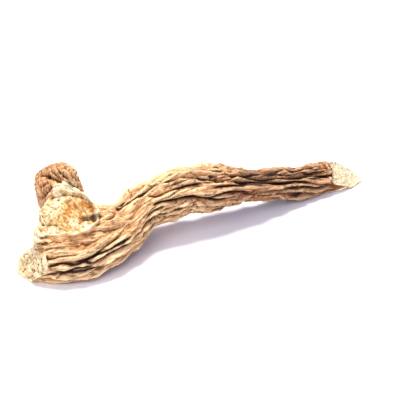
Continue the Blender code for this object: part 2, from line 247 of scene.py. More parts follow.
def grown():
    curve = bpy.data.curves.new("arms", "CURVE")
    curve.dimensions = "3D"
    curve.bevel_depth = 1.0
    curve.bevel_resolution = 10
    curve.use_fill_caps = True
    for name, points in ARMS.items():
        line = smooth_line(points[0 if name == "trunk" else FORK - 1:], TUBE_STEP)
        first = end_rows(line[0], line[1], END_BULGE[name])
        last = end_rows(line[-1], line[-2], END_BULGE[name])
        rows = first[::-1] + [tuple(row) for row in line] + last
        spline = curve.splines.new("POLY")
        spline.points.add(len(rows) - 1)
        for point, (x, y, z, radius) in zip(spline.points, rows):
            point.co = (x, y, z, 1)
            point.radius = radius
    mesh = with_modifier(evaluated(linked("arms", curve)), "REMESH", mode="VOXEL", voxel_size=GROWN_GRAIN)
    return with_modifier(mesh, "SMOOTH", factor=0.5, iterations=round(MELTED / GROWN_GRAIN))


body = grown()
print("grown body:", len(body.vertices), "vertices")

# %% Cut the ends: a place on the face, the way it looks, the cut's reach and its height
SKIN_GRAIN = 0.42
CUTS = {"thin_end": ((86.7, -1.0, 1.0), (0.390, -0.557, 0.736), 22.0, 30.0),
        "thin_end_below": ((74.8, -5.0, 2.0), (-0.030, -0.524, -0.856), 9.0, 20.0),
        "lower_end": ((-80.0, 5.0, 4.0), (-0.916, -0.033, 0.394), 12.5, 20.0),
        "stub_top": ((-61.6, 5.2, 24.3), (-0.190, -0.130, 0.973), 12.2, 6.0)}


def cutter(name, place, look, reach, height):
    """A short cylinder that stands on a cut face."""
    bm = bmesh.new()
    turn = Vector(look).to_track_quat("Z", "Y").to_matrix().to_4x4()
    middle = Vector(place) + Vector(look).normalized() * height / 2
    bmesh.ops.create_cone(bm, cap_ends=True, segments=48, radius1=reach, radius2=reach, depth=height,
                          matrix=Matrix.Translation(middle) @ turn)
    mesh = bpy.data.meshes.new(name)
    bm.to_mesh(mesh)
    bm.free()
    return linked(name, mesh)


def cut(mesh):
    helper = linked("helper", mesh)
    cutters = [cutter(name, *values) for name, values in CUTS.items()]
    for shape in cutters:
        modifier = helper.modifiers.new(shape.name, "BOOLEAN")
        modifier.operation = "DIFFERENCE"
        modifier.object = shape
    return with_modifier(evaluated(helper, *cutters), "REMESH", mode="VOXEL", voxel_size=SKIN_GRAIN)


def largest_part(mesh):
    """The mesh without the loose grains that a remesh can leave beside a cut."""
    bm = bmesh.new()
    bm.from_mesh(mesh)
    unseen = set(bm.verts)
    parts = []
    while unseen:
        part = [unseen.pop()]
        for vert in part:
            joined = {edge.other_vert(vert) for edge in vert.link_edges} & unseen
            unseen -= joined
            part.extend(joined)
        parts.append(part)
    parts.sort(key=len)
    bmesh.ops.delete(bm, geom=[vert for part in parts[:-1] for vert in part], context="VERTS")
    bm.to_mesh(mesh)
    bm.free()
    return mesh


def mesh_arrays(mesh):
    """The places and the normals of a mesh's vertices, one row for each."""
    places = np.empty(len(mesh.vertices) * 3)
    normals = np.empty(len(mesh.vertices) * 3)
    mesh.vertices.foreach_get("co", places)
    mesh.vertices.foreach_get("normal", normals)
    return places.reshape(-1, 3), normals.reshape(-1, 3)


body = largest_part(cut(body))
places, normals = mesh_arrays(body)
print("cut body:", len(places), "vertices")

# %% [markdown]
# ## Where a place lies on an arm
#
# Wrinkles run along a root, so they are easiest to draw on the unrolled skin: how far along the arm, and
# at what angle round it. An arm finds the nearest point of its line for each place, and measures the
# angle from a direction that is carried along the line without twisting. Near the fork a place belongs
# to several arms at once, so each arm has a hold on it, which fades with the distance from its line.

# %% Reading the arms
Reading = namedtuple("Reading", "along across above out side hold")


def smoothstep(low, high, x):
    t = np.clip((x - low) / (high - low), 0, 1)
    return t * t * (3 - 2 * t)


class Arm:
    """The centre line of one arm, which tells how far along it and round it a place lies."""

    def __init__(self, points):
        self.line = smooth_line(points, LINE_STEP)
        tangent = np.gradient(self.line[:, :3], axis=0)
        self.tangent = tangent / np.linalg.norm(tangent, axis=1)[:, None]
        self.side = np.zeros_like(tangent)
        side = np.cross(self.tangent[0], (0.0, 0.0, 1.0))
        for i, t in enumerate(self.tangent):
            side = side - t * (side @ t)
            side /= np.linalg.norm(side)
            self.side[i] = side
        self.up = np.cross(self.side, self.tangent)
        steps = np.linalg.norm(np.diff(self.line[:, :3], axis=0), axis=1)
        self.length = np.concatenate([[0.0], np.cumsum(steps)])
        self.tree = kdtree.KDTree(len(self.line))
        for i, row in enumerate(self.line):
            self.tree.insert(row[:3], i)
        self.tree.balance()

    def read(self, places):
        """The distance along the arm, across and above its line, the distance out from it, how far the
        place lies on the arm's side and not on its end, and the arm's hold on it."""
        nearest = np.array([self.tree.find(v)[1] for v in places])
        offset = places - self.line[nearest, :3]
        ahead = (offset * self.tangent[nearest]).sum(1)
        across = (offset * self.side[nearest]).sum(1)
        above = (offset * self.up[nearest]).sum(1)
        radius = self.line[nearest, 3]
        at_end = nearest == len(self.line) - 1
        along = self.length[nearest] + np.where(at_end, ahead, np.clip(ahead, -LINE_STEP, LINE_STEP))
        out = np.hypot(across, above)
        hold = np.exp(-3 * (out ** 2 + ahead ** 2) / radius ** 2)
        return Reading(along, across, above, out, smoothstep(0.2, 0.8, out / radius), hold)


readings = {name: Arm(points).read(places) for name, points in ARMS.items()}
print("farthest along each arm, mm:",
      {name: round(float(reading.along.max())) for name, reading in readings.items()})

# %% How much of each place an arm holds
FORK_BLEND = 10
holds = [reading.hold for reading in readings.values()]
strongest = np.max(holds, axis=0)
together = np.sum(holds, axis=0)
forked = smoothstep(FORK_AT - FORK_BLEND, FORK_AT, readings["trunk"].along)
shares = {name: forked * reading.hold / together + (1 - forked) * (name == "trunk")
          for name, reading in readings.items()}
print("share of the skin that each arm holds:",
      {name: round(float(share.mean()), 2) for name, share in shares.items()})

# %% [markdown]
# ## The furrows
#
# As the root dries, its inside shrinks more than its skin, so the skin folds into long furrows with
# raised lips. The ones that give this root its look are placed one by one: each is a short list of
# places on the unrolled skin, with a depth and a width in millimetres. They could be sculpted, but a
# list of places is easy to read and to correct. The rest are drawn by a seeded lot, in lanes that lie
# side by side.

# %% The named furrows of the trunk: depth, width, and (distance along, angle round) places
FURROWS = (
    # the lower arm's scalloped furrows
    (1.5, 0.9, ((162, 131), (157, 130), (153, 131))),
    (2.6, 1.2, ((159, 143), (154, 154), (150, 154), (145, 159), (139, 169), (134, 171))),
    (3.0, 1.2, ((168, 147), (162, 149), (158, 159), (155, 155), (153, 169), (145, 178), (136, 184))),
    (3.4, 1.2, ((167, 174), (161, 175), (158, 171), (155, 178), (151, 186))),
    (3.2, 1.1, ((166, 188), (160, 184), (155, 189), (150, 197), (145, 205))),
    (1.2, 1.1, ((164, 198), (159, 192), (155, 214))),
    # the arch, from its top edge to its lower edge
    (2.3, 0.9, ((139, 85), (129, 79), (123, 85), (113, 85), (105, 88), (96, 94))),
    (1.5, 1.1, ((93, 93), (86, 99), (77, 101))),
    (2.6, 1.0, ((133, 92), (124, 97), (115, 104), (104, 102), (96, 112), (88, 114), (82, 121))),
    (2.6, 1.1, ((145, 87), (140, 92), (135, 98), (131, 100))),
    (1.5, 0.9, ((108, 102), (105, 110), (100, 117))),
    (1.9, 1.0, ((118, 119), (110, 129), (102, 130), (95, 137), (87, 139))),
    (3.0, 1.2, ((117, 146), (110, 148), (104, 158), (98, 168), (92, 179), (85, 182), (78, 191))),
    (2.5, 1.0, ((125, 161), (115, 159), (107, 161))),
    (2.4, 1.0, ((130, 168), (124, 176), (116, 181), (107, 190))),
    (1.7, 0.9, ((132, 188), (123, 196), (113, 200), (102, 203))),
    (1.4, 0.7, ((134, 122), (135, 136), (133, 150))),
    (1.0, 0.8, ((151, 129), (144, 141), (139, 141))),
    (1.2, 0.7, ((105, 170), (97, 183))),
    (2.6, 1.3, ((102, 204), (93, 220), (85, 236))),
    (2.2, 1.0, ((92, 193), (88, 207), (84, 222))),
    # the straight part towards the thin end
    (2.0, 1.0, ((81, 115), (73, 122), (64, 110), (54, 112), (42, 119), (22, 121))),
    (3.0, 1.2, ((76, 130), (61, 131), (49, 131), (36, 136), (19, 146))),
    (3.2, 1.3, ((78, 144), (67, 149), (55, 150), (45, 151), (34, 160))),
    (1.7, 0.8, ((56, 171), (45, 175), (37, 182), (22, 197))),
    (2.0, 1.1, ((65, 201), (55, 200), (47, 204), (30, 213))),
    (2.2, 1.1, ((49, 98), (37, 92), (22, 84))),
    (2.2, 1.1, ((86, 220), (75, 214), (65, 222))),
)
print("deepest named furrow, mm:", max(depth for depth, width, route in FURROWS))


# %% One furrow
def waves(rng, x, length, size):
    """A smooth wandering value along x, about as large as size, with swings about as long as length."""
    start = rng.uniform(0, 500)
    return 2 * size * np.array([noise.noise(Vector((start, v / length, 0.5))) for v in x])


class Furrow:
    """One furrow in the skin, drawn on the unrolled arm, with wandering sides and fading ends."""

    # In millimetres: the step along its route, how long its ends take to fade and to narrow, and the
    # length of a degree round the arm, at a radius of 9 mm.
    STEP = 0.6
    FADE = 6
    NARROW = 5
    UNROLL = math.radians(1) * 9.0
    # How much its depth and its width vary, as a share of them.
    UNEVEN = 0.35
    # How far from its middle its lips stand and how wide they are, in widths of the furrow.
    LIP_AT = 1.9
    LIP_WIDTH = 0.8
    # In millimetres: the half width of the line of painted shade at its bottom, and the furrow depth at
    # which that line is painted fully dark.
    LINE = 0.6
    DARK_FROM = 1.8

    def __init__(self, rng, depth, width, route_places):
        route = smooth_line([(along, angle * self.UNROLL) for along, angle in route_places], self.STEP)
        x = np.arange(len(route)) * self.STEP
        to_end = np.minimum(x, x[-1] - x)
        self.along = route[:, 0]
        self.angle = np.radians(route[:, 1] / self.UNROLL) + waves(rng, x, 7.0, 0.05)
        self.depth = depth * smoothstep(0, self.FADE, to_end) * (1 + waves(rng, x, 11.0, self.UNEVEN))
        narrowed = 0.5 + 0.5 * smoothstep(0, self.NARROW, to_end)
        self.width = width * narrowed * (1 + waves(rng, x, 9.0, self.UNEVEN))

    def read(self, along, angle, out):
        """How deep the furrow goes at each place, how high its lips stand, and how strong the painted shade
        line at its bottom is there.
        """
        depth = np.zeros(len(along))
        lip = np.zeros(len(along))
        line = np.zeros(len(along))
        reach = 4 * self.width.max()
        near = np.flatnonzero((along > self.along.min() - reach) & (along < self.along.max() + reach))
        nearest = np.full(len(near), 1e9)
        index = np.zeros(len(near), int)
        for i, (a, b) in enumerate(zip(self.along, self.angle)):
            turn = (angle[near] - b + math.pi) % (2 * math.pi) - math.pi
            distance = (along[near] - a) ** 2 + (turn * out[near]) ** 2
            closer = distance < nearest
            nearest[closer] = distance[closer]
            index[closer] = i
        x = np.sqrt(nearest) / self.width[index]
        depth[near] = self.depth[index] * np.exp(-x ** 1.6)
        lip[near] = self.depth[index] * np.exp(-((x - self.LIP_AT) / self.LIP_WIDTH) ** 2)
        dark = np.minimum(1, self.depth[index] / self.DARK_FROM)
        line[near] = dark * np.exp(-nearest / self.LINE ** 2)
        return depth, lip, line


# %% The furrows drawn by lot: how many lie side by side, from and to which angle, depth, width, length
LOTS = ((8, 238, 438, 2.6, 1.1, 42), (13, 0, 360, 1.3, 0.9, 32))
LONGEST_ARM = 185
BEND_EVERY = 12
SEED = 4


def furrows_by_lot(rng, lanes, first, last, depth, width, length):
    """Furrows one after another in lanes, which lie side by side between two angles in degrees."""
    made = []
    spread = (last - first) / lanes
    for lane in range(lanes):
        middle = first + spread * (lane + 0.5)
        start = rng.uniform(-10, 10)
        while start < LONGEST_ARM:
            end = start + rng.uniform(0.6, 1.4) * length
            bends = max(3, round((end - start) / BEND_EVERY))
            route = [(along, middle + rng.uniform(-0.35, 0.35) * spread)
                     for along in np.linspace(start, end, bends)]
            made.append(Furrow(rng, depth * rng.uniform(0.6, 1.3), width * rng.uniform(0.8, 1.3), route))
            start = end + rng.uniform(-0.1, 0.15) * length
    return made


rng = random.Random(SEED)
named = [Furrow(rng, *furrow) for furrow in FURROWS]
by_lot = [furrow for lot in LOTS for furrow in furrows_by_lot(rng, *lot)]
print("furrows:", len(named), "named and", len(by_lot), "by lot")

# %% All furrows together
# Where the skin is smoother: place and radius, and the share of the lot's furrows that is taken away.
CALM = (((-63.5, -4.0, 20.5), 9.0), ((-53.0, 20.0, 32.0), 13.0))
CALMED = 0.85
shown = np.ones(len(places))
for middle, radius in CALM:
    shown -= CALMED * np.exp(-((places - middle) ** 2).sum(1) / radius ** 2)

# An arm draws nothing where it holds less of the skin than this.
HELD = 0.02
squares = np.zeros(len(places))
lips = np.zeros(len(places))
lines = np.zeros(len(places))
for name, reading in readings.items():
    angle = np.arctan2(reading.above, reading.across)
    if name == "trunk":
        share = reading.side * reading.hold / strongest
        for furrow in named:
            depth, lip, line = furrow.read(reading.along, angle, reading.out)
            squares += (share * depth) ** 2
            lips += share * lip
            lines = np.maximum(lines, share * line)
    here = np.flatnonzero(shares[name] > HELD)
    share = (shares[name] * shown * reading.side)[here]
    for furrow in by_lot:
        depth, lip, line = furrow.read(reading.along[here], angle[here], reading.out[here])
        squares[here] += share * shown[here] * reading.side[here] * depth ** 2
        lips[here] += share * lip
        lines[here] = np.maximum(lines[here], share * line)
furrow_depth = np.sqrt(squares)
print("deepest furrow, mm:", round(float(furrow_depth.max()), 1))

# %% [markdown]
# ## Dents, fine wrinkles and cut faces
#
# Some dents, pits and creases show in one place only. Each is a short route in space, and it is laid
# onto the skin first, so that its places needn't be exact.
#
# Between the furrows the skin is never smooth. Fine wrinkles run the same way, so their noise is read in
# the arm's own directions and stretched along it: where the noise passes zero, the skin is creased. The
# cut faces show the spongy inside of the root, with pits and torn rims, so there the noise is round.

# %% Dents, pits and creases: depth, width and places in space; a negative depth is a raised place
DENTS = (
    # the upper cut face, the middle lobe and the lower arm
    (3.2, 2.6, ((-55.0, -1.0, 24.6), (-52.0, -1.6, 24.0))),
    (1.8, 1.6, ((-76.2, -1.2, 14.2),)),
    (1.5, 0.8, ((-78.1, -5.5, 7.9),)),
    (1.8, 1.6, ((-73.9, 3.2, 17.0), (-72.0, 2.1, 17.5))),
    (1.8, 1.1, ((-71.4, 10.7, 20.5), (-69.7, 8.4, 21.8), (-68.2, 5.7, 22.6), (-66.4, 3.4, 23.0))),
    (-2.4, 3.0, ((-75.0, 4.0, 17.4), (-72.5, 1.0, 16.8), (-70.4, -2.0, 16.2), (-67.0, -4.6, 16.0))),
    # the arch and the straight part
    (2.6, 1.2, ((4.0, -2.8, 27.0), (6.4, -3.5, 26.6))),
    (2.2, 0.9, ((5.8, -4.9, 25.5), (8.5, -5.2, 25.0))),
    (1.8, 1.0, ((22.7, -6.4, 13.3), (26.2, -6.6, 12.3))),
    (-0.9, 0.9, ((33.4, -6.8, 11.8),)),
    # the crown
    (2.4, 1.1, ((-60.5, 27.0, 32.8), (-59.0, 24.5, 33.7), (-57.6, 22.0, 32.6), (-55.1, 19.2, 31.7))),
    (1.5, 2.2, ((-58.6, 23.4, 33.0),)),
    (1.8, 0.8, ((-62.8, 22.5, 25.1), (-61.6, 20.2, 27.6), (-60.3, 18.2, 29.5))),
    (1.7, 0.6, ((-54.3, 23.6, 36.0), (-53.4, 21.2, 34.5), (-51.9, 18.9, 32.8))),
    (2.1, 0.8, ((-53.8, 21.3, 34.1), (-51.4, 18.3, 31.5), (-48.5, 17.8, 28.1), (-44.3, 19.9, 23.7))),
    (2.0, 0.8, ((-50.7, 22.6, 35.4), (-48.9, 19.4, 32.2), (-45.7, 18.7, 27.4))),
    (1.8, 0.7, ((-48.7, 25.0, 35.4), (-46.8, 21.5, 32.2), (-44.5, 19.8, 27.0))),
    (1.5, 0.6, ((-56.9, 24.0, 35.4), (-55.6, 21.2, 33.6), (-53.4, 18.7, 31.9), (-50.4, 17.4, 28.6))),
    (1.0, 0.7, ((-62.3, 24.0, 28.4), (-60.3, 21.3, 31.8))),
    (1.0, 0.7, ((-61.8, 22.5, 27.1), (-60.4, 18.7, 31.1))),
    # beside the thin end
    (1.0, 0.9, ((72.8, -6.5, 6.8),)),
)

skin_tree = kdtree.KDTree(len(places))
for i, place in enumerate(places):
    skin_tree.insert(place, i)
skin_tree.balance()


def distance_to(route):
    """The distance of each place from a route in space, which is first laid onto the skin."""
    line = smooth_line(route, LINE_STEP) if len(route) > 1 else np.array(route)
    line = [places[skin_tree.find(point)[1]] for point in line]
    return np.sqrt(np.min([((places - point) ** 2).sum(1) for point in line], axis=0))


dent_depth = np.zeros(len(places))
for depth, width, route in DENTS:
    dent_depth += depth * np.exp(-(distance_to(route) / width) ** 2)
print("places in a dent:", int((dent_depth > 0.5).sum()))


# %% Noise in space, and wrinkles that follow the arms
def lumps(places, length, seed):
    """Smooth noise in space, about -0.5 to 0.5, with lumps about as long as length."""
    return np.array([noise.noise(Vector(v)) for v in places / length + seed * 7.3])


def crease(values, width):
    """1 where the noise passes zero, falling off steeply to both sides."""
    return np.exp(-np.abs(values) / width)


def wrinkles(stretch, spacing, width, seed):
    """Creases that run along the arms, from 0 to 1: stretch and spacing in millimetres."""
    total = np.zeros(len(places))
    for name, reading in readings.items():
        here = np.flatnonzero(shares[name] > HELD)
        coords = np.stack([reading.along / stretch, reading.across / spacing, reading.above / spacing],
                          axis=1)[here]
        total[here] += shares[name][here] * reading.side[here] * crease(lumps(coords, 1.0, seed), width)
    return total


long_creases = wrinkles(34.0, 3.0, 0.11, 11)
crests = wrinkles(28.0, 2.6, 0.09, 13)
short_creases = wrinkles(12.0, 1.6, 0.14, 12)
print("share of the skin in a long crease:", round(float((long_creases > 0.5).mean()), 2))


# %% Which places lie on a cut face: within a millimetre of it, and looking nearly the same way
CUT_MARGIN = 2
NEAR_CUT = 1.0
RIM_DEPTH = 3


def cut_faces(places, normals):
    """How surely each place lies on a cut face, from 0 to 1, and how free of a cut's rim it is."""
    face = np.zeros(len(places))
    free = np.ones(len(places))
    for place, look, reach, height in CUTS.values():
        look = np.array(look) / np.linalg.norm(look)
        offset = places - np.array(place)
        below = -offset @ look
        close = (offset ** 2).sum(1) < (reach + CUT_MARGIN) ** 2
        on_plane = close * (np.abs(below) < NEAR_CUT)
        face = np.maximum(face, on_plane * smoothstep(0.6, 0.95, normals @ look))
        free = np.minimum(free, np.where(close, smoothstep(0, RIM_DEPTH, below), 1))
    return face, free


face, free = cut_faces(places, normals)
print("share of the skin that is cut:", round(float(face.mean()), 3))

# %% How far inside a cut face each place lies, and how near its rim
edges = np.empty(len(body.edges) * 2, int)
body.edges.foreach_get("vertices", edges)
one, other = edges[0::2], edges[1::2]
neighbours = np.bincount(edges, minlength=len(places))


def smoothed(values, rounds):
    """Each value drawn towards the mean of its neighbours, again and again."""
    values = values.copy()
    for _ in range(rounds):
        mean = (np.bincount(one, values[other], len(values)) + np.bincount(other, values[one], len(values)))
        values = 0.4 * values + 0.6 * mean / neighbours
    return values


inner = smoothstep(0.6, 1.0, smoothed(face, 12))
rim = np.clip(4 * smoothed(face, 20) * (1 - smoothed(face, 20)), 0, 1)
print("share of the skin at a cut's rim:", round(float((rim > 0.5).mean()), 3))

# %% [markdown]
# ## Drying
#
# Now all of it is added up. The skin moves in and out along its normals, and the cut faces get a rougher
# relief of their own. At their rims the skin is torn, so there it moves sideways too. Displace modifiers
# could do this, but the colours need the same numbers, so the moves are worked out as arrays.
#
# Where the root is thin, as at the tip of its slanting cut, a deep move would push one side through the
# other. So a ray measures the way through the root under each place, and no place moves in by more than
# a share of it. The places that the root rests on stay flat.

# %% How thick the root is near each place: rays start just under the skin
JUST_UNDER = 0.1
FARTHEST = 30.0


def thickness_near(mesh, rounds):
    """The least way straight in from the skin to the far side, within some edges of each place."""
    bm = bmesh.new()
    bm.from_mesh(mesh)
    inside = bvhtree.BVHTree.FromBMesh(bm)
    bm.free()
    starts = places - JUST_UNDER * normals
    ways = [inside.ray_cast(start, -normal)[3] for start, normal in zip(starts, normals)]
    least = np.array([FARTHEST if way is None else way for way in ways])
    for _ in range(rounds):
        nearby = least.copy()
        np.minimum.at(nearby, one, least[other])
        np.minimum.at(nearby, other, least[one])
        least = nearby
    return smoothed(least, rounds)


thickness = thickness_near(body, 5)
print("share of the skin over a thin edge:", round(float((thickness < 5).mean()), 3))

# %% How far the skin moves: heights in millimetres, and the lips' height as a share of the furrow's depth
SHRUNK = 0.6
BROAD_LUMPS = 1.0
SMALL_LUMPS = 0.2
GRAINS = 0.25
LIPS = 0.3
CRESTS = 0.9
LONG_CREASES = 1.0
SHORT_CREASES = 0.5
FLOOR = 2.0

resting = 0.2 + 0.8 * smoothstep(FLOOR - 0.5, FLOOR + 1.5, places[:, 2])
swell = BROAD_LUMPS * lumps(places, 13.0, 1) + SMALL_LUMPS * lumps(places, 4.0, 2) - SHRUNK
skin = swell + resting * (LIPS * lips - furrow_depth) - dent_depth
small = (shown * (CRESTS * crests - LONG_CREASES * long_creases) - SHORT_CREASES * short_creases
         + GRAINS * lumps(places, 1.6, 5))
skin = (0.25 + 0.75 * free) * (skin + resting * small)
print("deepest and highest move of the skin, mm:", round(float(skin.min()), 1), round(float(skin.max()), 1))

# %% How far the cut faces and their torn rims move, with less of it at the thin end
CUT_LUMPS = 1.4
CUT_DENTS = 0.8
CUT_PORES = 0.7
TORN = 1.3

boldness = 0.6 + 0.4 * smoothstep(20, 30, readings["trunk"].along)
rough = CUT_LUMPS * (lumps(places, 5.0, 3) + 0.75 * lumps(places, 1.7, 4)) - CUT_DENTS * dent_depth
rough = inner * boldness * (rough - CUT_PORES * crease(lumps(places, 1.5, 6), 0.10))
torn = np.stack([lumps(places, 4.5, seed) for seed in (21, 22, 23)], axis=1)
torn *= (TORN * rim * boldness * resting * smoothstep(1, 6, thickness))[:, None]
print("most that a rim is torn, mm:", round(float(np.abs(torn).max()), 2))

# %% Dry the root
MOST_SHRINKING = 0.3
THIN_EDGE = 1.0

move = np.maximum((1 - face) * skin + face * rough, -MOST_SHRINKING * thickness)
move *= smoothstep(FLOOR - 3, FLOOR - 1, places[:, 2])
dried_places = places + normals * move[:, None] + torn
# Nothing sinks below the floor, and a place that looks up stays a thin edge's height above it.
lowest = FLOOR + THIN_EDGE * smoothstep(0.0, 0.5, normals[:, 2])
dried_places[:, 2] = np.maximum(dried_places[:, 2], lowest)
body.vertices.foreach_set("co", dried_places.ravel())
body.update()
dried_places, dried_normals = mesh_arrays(body)
print("places on the floor:", int((dried_places[:, 2] < FLOOR + 0.01).sum()))

# %% [markdown]
# ## What the colours need to know
#
# On the real root the raised crests are rubbed pale and the hollows keep dark soil. The colours here also
# paint a highlight on the crests and shade in the hollows and furrows. Colours could be painted by hand,
# but then they would miss the fine wrinkles. So each place gets a few numbers that the material reads: how
# far it stands out from its surroundings, how deep its furrow is, and how much of a cut face it is. They
# are kept as attributes of the mesh. So are the arm's own directions, which the finest wrinkles of the
# material follow.

# %% How far each place stands out from its near and its wider surroundings
def standing_out(rounds):
    """How far each place stands out from its smoothed surroundings, in millimetres."""
    around = np.stack([smoothed(dried_places[:, k], rounds) for k in range(3)], axis=1)
    return ((dried_places - around) * dried_normals).sum(1)


sharp_relief = standing_out(6)
broad_relief = standing_out(60)
print("relief, mm:", [round(float(v), 2) for v in np.percentile(broad_relief, (1, 25, 50, 75, 99))])

# %% Flesh that shows beside the cuts, and ochre stains where the sap dried
# Beside the upper cut face, the crown's foot and the middle lobe are scraped down to the flesh: how
# much of the flesh shows, how wide, and where.
SCRAPED = ((0.70, 6.0, ((-57.0, 15.5, 29.5), (-52.5, 16.0, 29.5), (-48.5, 15.5, 25.5), (-48.5, 9.0, 25.0),
                        (-49.5, 4.0, 25.8))),
           (0.50, 7.0, ((-72.5, 10.5, 18.5), (-74.0, 5.0, 18.5), (-69.0, 6.0, 22.0))))
# The stains: how wide, and where.
STAINS = ((2.4, ((-52.5, 6.5, 26.4), (-50.0, 2.5, 26.2))), (1.7, ((-56.7, 0.1, 24.2), (-58.6, -3.4, 24.1))),
          (2.2, ((-76.5, -1.0, 14.5), (-75.5, 2.0, 16.0))), (1.5, ((-60.5, 6.0, 25.0), (-57.0, 9.0, 25.5))))

flesh_share = face
for share, width, route in SCRAPED:
    flesh_share = np.maximum(flesh_share, share * smoothstep(width, 0.4 * width, distance_to(route)))
stain = np.max([np.exp(-(distance_to(route) / width) ** 2) for width, route in STAINS], axis=0)
print("share of the skin that shows flesh:", round(float(flesh_share.mean()), 3))

# %% Keep the numbers on the mesh
# Furrow, line, dent and the two reliefs set where the finish paints shade; lip and the reliefs set where it
# paints highlight.
KEPT = {"sharp_relief": sharp_relief, "broad_relief": broad_relief,
        "furrow": furrow_depth + np.maximum(dent_depth, 0), "line": lines, "lip": lips, "dent": dent_depth,
        "cut": flesh_share, "stain": stain, "inner": inner, "along": readings["trunk"].along,
        "crown": shares["crown"]}
for name, values in KEPT.items():
    attribute = body.attributes.new(name, "FLOAT", "POINT")
    attribute.data.foreach_set("value", values.astype(np.float32))

strongest_arm = np.argmax(holds, axis=0)
flow = np.zeros((len(places), 3))
for i, reading in enumerate(readings.values()):
    mine = strongest_arm == i
    flow[mine] = np.stack([reading.along, reading.across, reading.above], axis=1)[mine]
attribute = body.attributes.new("flow", "FLOAT_VECTOR", "POINT")
attribute.data.foreach_set("vector", flow.astype(np.float32).ravel())
print("attributes:", [a.name for a in body.attributes if not a.name.startswith(".")])

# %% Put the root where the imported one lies
packed_low, packed_high = [np.array(corner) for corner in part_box("gentian_root")]
low, high = dried_places.min(axis=0) * MM, dried_places.max(axis=0) * MM
shift = (packed_low + packed_high) / 2 - (low + high) / 2
shift[2] = packed_low[2] - low[2]
body.transform(Matrix.Translation(Vector(shift)) @ Matrix.Scale(MM, 4))
body.shade_smooth()
root = linked("dried_root", body)
print("shift, mm:", [round(float(v) / MM, 2) for v in shift],
      "size, mm:", [round(float(v) / MM, 1) for v in high - low])

# %% [markdown]
# ## The dried root's finish
#
# The skin of a dried gentian root is a thin yellow-brown cork: matt, and pale where it is rubbed. Here its
# crests also get a painted highlight, and its furrows hold some dark soil under a painted shade that goes
# almost black. Inside, the root is a pale, spongy tissue with ochre flecks and coarse fibres.
# Two materials could share the mesh, but the change at a cut's rim is ragged, and an attribute can draw
# it finer than faces can. So one material shows both. Skin and flesh each start from a base colour, and
# layers are laid over it one by one, as strongly as a kept number or a noise says.

# %% A node with its settings and links
def add_node(tree, kind, inputs=None, stops=None, **settings):
    """Adds a node. Its inputs take values or other nodes' sockets, and stops fill a colour ramp."""
    made = tree.nodes.new(kind)
    for name, value in settings.items():
        setattr(made, name, value)
    for key, value in (inputs or {}).items():
        if isinstance(value, bpy.types.NodeSocket):
            tree.links.new(value, made.inputs[key])
        else:
            made.inputs[key].default_value = value
    for i, (position, colour) in enumerate(stops or ()):
        elements = made.color_ramp.elements
        element = elements[i] if i < 2 else elements.new(position)
        element.position = position
        element.color = colour
    return made


# %% What the finish reads: the numbers kept on the mesh
finish = bpy.data.materials.new("dried_gentian_root")
finish.use_nodes = True
tree = finish.node_tree
shader = tree.nodes["Principled BSDF"]
kept = {name: add_node(tree, "ShaderNodeAttribute", attribute_name=name).outputs["Fac"] for name in KEPT}
on_arm = add_node(tree, "ShaderNodeAttribute", attribute_name="flow").outputs["Vector"]
print("numbers read:", len(kept))

# %% Noises: where each is read, the size of its spots in millimetres, and its detail
# Along the arms the folds are ten times as long as they are wide, and the fibres lie across the cuts.
# Real grit is finer than 0.1 mm. It is drawn at 0.6 mm, because finer grit wouldn't show.
in_space = add_node(tree, "ShaderNodeTexCoord").outputs["Object"]
along_arm = add_node(tree, "ShaderNodeMapping", {"Vector": on_arm, "Scale": (0.1 * MM, MM, MM)}).outputs[0]
across_cut = add_node(tree, "ShaderNodeMapping", {"Vector": in_space, "Rotation": (0.0, 0.0, 0.9),
                                                  "Scale": (1.0, 0.2, 0.4)}).outputs[0]
NOISES = {"blush": (in_space, 4.0, 6.0), "folds": (along_arm, 1.1, 1.0), "grit": (in_space, 0.6, 3.0),
          "torn_edge": (in_space, 1.5, 3.0), "flecks": (in_space, 2.2, 5.0),
          "patches": (in_space, 7.0, 3.0), "fibres": (across_cut, 0.9, 4.0)}
noises = {name: add_node(tree, "ShaderNodeTexNoise", {"Vector": where, "Scale": 1 / (size * MM),
                                                      "Detail": detail, "Roughness": 0.55}).outputs["Fac"]
          for name, (where, size, detail) in NOISES.items()}
from_middle = add_node(tree, "ShaderNodeMath", {0: noises["folds"], 1: 0.5},
                       operation="SUBTRACT").outputs[0]
from_fold = add_node(tree, "ShaderNodeMath", {0: from_middle}, operation="ABSOLUTE").outputs[0]
ragged = {name: add_node(tree, "ShaderNodeMath", {0: kept[name], 1: noises["torn_edge"]},
                         operation="ADD").outputs[0] for name in ("cut", "stain")}
print("noises:", len(noises))

